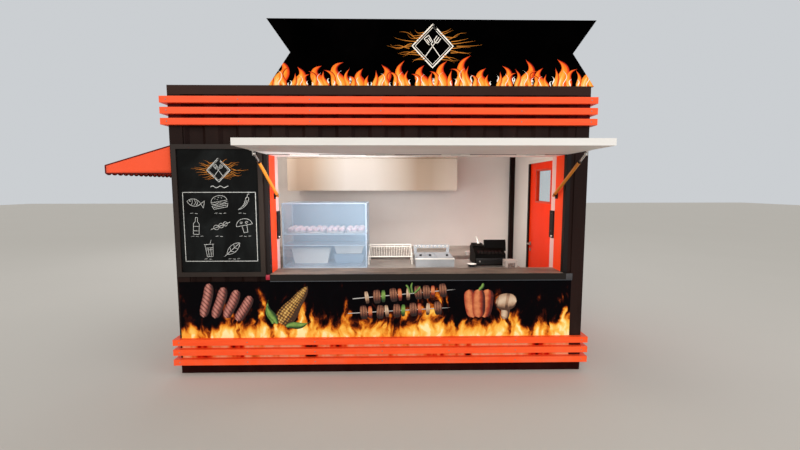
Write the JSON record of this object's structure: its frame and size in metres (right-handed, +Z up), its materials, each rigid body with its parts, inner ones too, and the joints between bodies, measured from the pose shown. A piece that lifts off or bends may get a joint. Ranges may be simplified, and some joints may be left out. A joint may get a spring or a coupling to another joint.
{
  "type": "street food kiosk with a serving flap",
  "caption": "Free-standing street food kiosk: steel body with orange battens, a raised serving flap on gas struts, a counter, menu board, roof sign, side awning and side door.",
  "frame": {"origin": "on the ground, under the middle of the steel body's plan", "axes": "+X along the front towards the side door, +Y from the serving front to the back, +Z up"},
  "size_m": [4.693, 3.138, 3.406],
  "materials": {
    "steel_black": "satin",
    "steel_dark": "satin",
    "roof_grey": "matt",
    "floor_sheet": "matt",
    "lining_white": "satin",
    "orange_timber": "satin paint",
    "jamb_orange": "satin paint",
    "white_paint": "satin",
    "counter_brown": "worn",
    "edge_black": "satin",
    "print_black": "satin print",
    "chalk_black": "matt",
    "frame_brown": "satin",
    "awning_cloth": "matt",
    "tube_grey": "satin",
    "zinc": "satin",
    "panel_white": "gloss",
    "strut_gold": "gloss",
    "rod_silver": "polished",
    "door_orange": "satin",
    "clear_glass": "clear",
    "handle_metal": "brushed",
    "stainless": "brushed",
    "wire_cream": "satin",
    "till_black": "matt",
    "stand_white": "satin"
  },
  "bodies": {
    "kiosk": {"base_frame": "steel_black", "floor_deck": "floor_sheet", "corner_posts": "steel_dark", "top_rails": "steel_dark", "roof_panel": "roof_grey", "interior_lining": "lining_white", "front_header": "steel_dark", "front_wall_left": "steel_dark", "front_wall_right": "steel_dark", "front_apron": "steel_dark", "left_wall": "steel_dark", "rear_wall": "steel_dark", "right_wall_front": "steel_dark", "right_wall_rear": "steel_dark", "right_wall_over_door": "steel_dark", "opening_frame": "steel_black", "opening_jambs": "jamb_orange", "opening_soffit": "white_paint", "guide_channels": "white_paint", "cover_plates": "steel_black", "countertop": "counter_brown", "counter_edge": "edge_black", "print_panel": "print_black", "menu_board_frame": "frame_brown", "menu_board": "chalk_black", "battens_front_upper": "orange_timber", "battens_front_lower": "orange_timber", "battens_left": "orange_timber", "battens_rear": "orange_timber", "battens_right_upper": "orange_timber", "battens_right_front_lower": "orange_timber", "battens_right_rear_lower": "orange_timber", "roof_sign": "print_black", "sign_posts": "steel_black", "side_awning": "awning_cloth", "awning_frame": "tube_grey", "flap_hinge": "zinc", "strut_brackets": "steel_black", "door_frame": "steel_black", "work_counter": "stainless", "rear_bench": "stainless", "extractor_hood": "stainless", "display_case": "white_paint", "display_glass": "clear_glass", "wire_rack": "wire_cream", "food_warmer": "stainless", "till": "till_black", "service_stand": "stand_white"},
    "flap": {"flap_panel": "panel_white"},
    "left_cylinder": {"strut_cylinder_left": "strut_gold"},
    "right_cylinder": {"strut_cylinder_right": "strut_gold"},
    "left_rod": {"strut_rod_left": "rod_silver"},
    "right_rod": {"strut_rod_right": "rod_silver"},
    "side_door": {"door_leaf": "door_orange", "door_glass": "clear_glass", "door_handle": "handle_metal"}
  },
  "joints": [
    {"name": "flap_swing", "type": "hinge", "parent": "kiosk", "child": "flap", "pos_m": [0.3525, -1.128, 2.153], "axis": [1, 0, 0], "range_deg": [0, 20]},
    {"name": "left_strut_turn", "type": "hinge", "parent": "kiosk", "child": "left_cylinder", "pos_m": [-1.058, -0.905, 1.757], "axis": [1, 0, 0], "range_deg": [0, 9.62]},
    {"name": "right_strut_turn", "type": "hinge", "parent": "kiosk", "child": "right_cylinder", "pos_m": [1.763, -0.905, 1.757], "axis": [1, 0, 0], "range_deg": [0, 9.62]},
    {"name": "left_strut_slide", "type": "slide", "parent": "left_cylinder", "child": "left_rod", "axis": [0, -0.8701, 0.4928], "range_m": [-0.0912, 0]},
    {"name": "right_strut_slide", "type": "slide", "parent": "right_cylinder", "child": "right_rod", "axis": [0, -0.8701, 0.4928], "range_m": [-0.0912, 0]},
    {"name": "door_swing", "type": "hinge", "parent": "kiosk", "child": "side_door", "pos_m": [2.009, -0.552, 1.15], "axis": [0, 0, -1], "range_deg": [0, 110]}
  ],
  "couplings": [
    {"joint": "left_strut_turn", "follows": "flap_swing", "ratio": 0.4807},
    {"joint": "right_strut_turn", "follows": "flap_swing", "ratio": 0.4807},
    {"joint": "left_strut_slide", "follows": "flap_swing", "m_per_rad": -0.26087},
    {"joint": "right_strut_slide", "follows": "flap_swing", "m_per_rad": -0.26087}
  ]
}
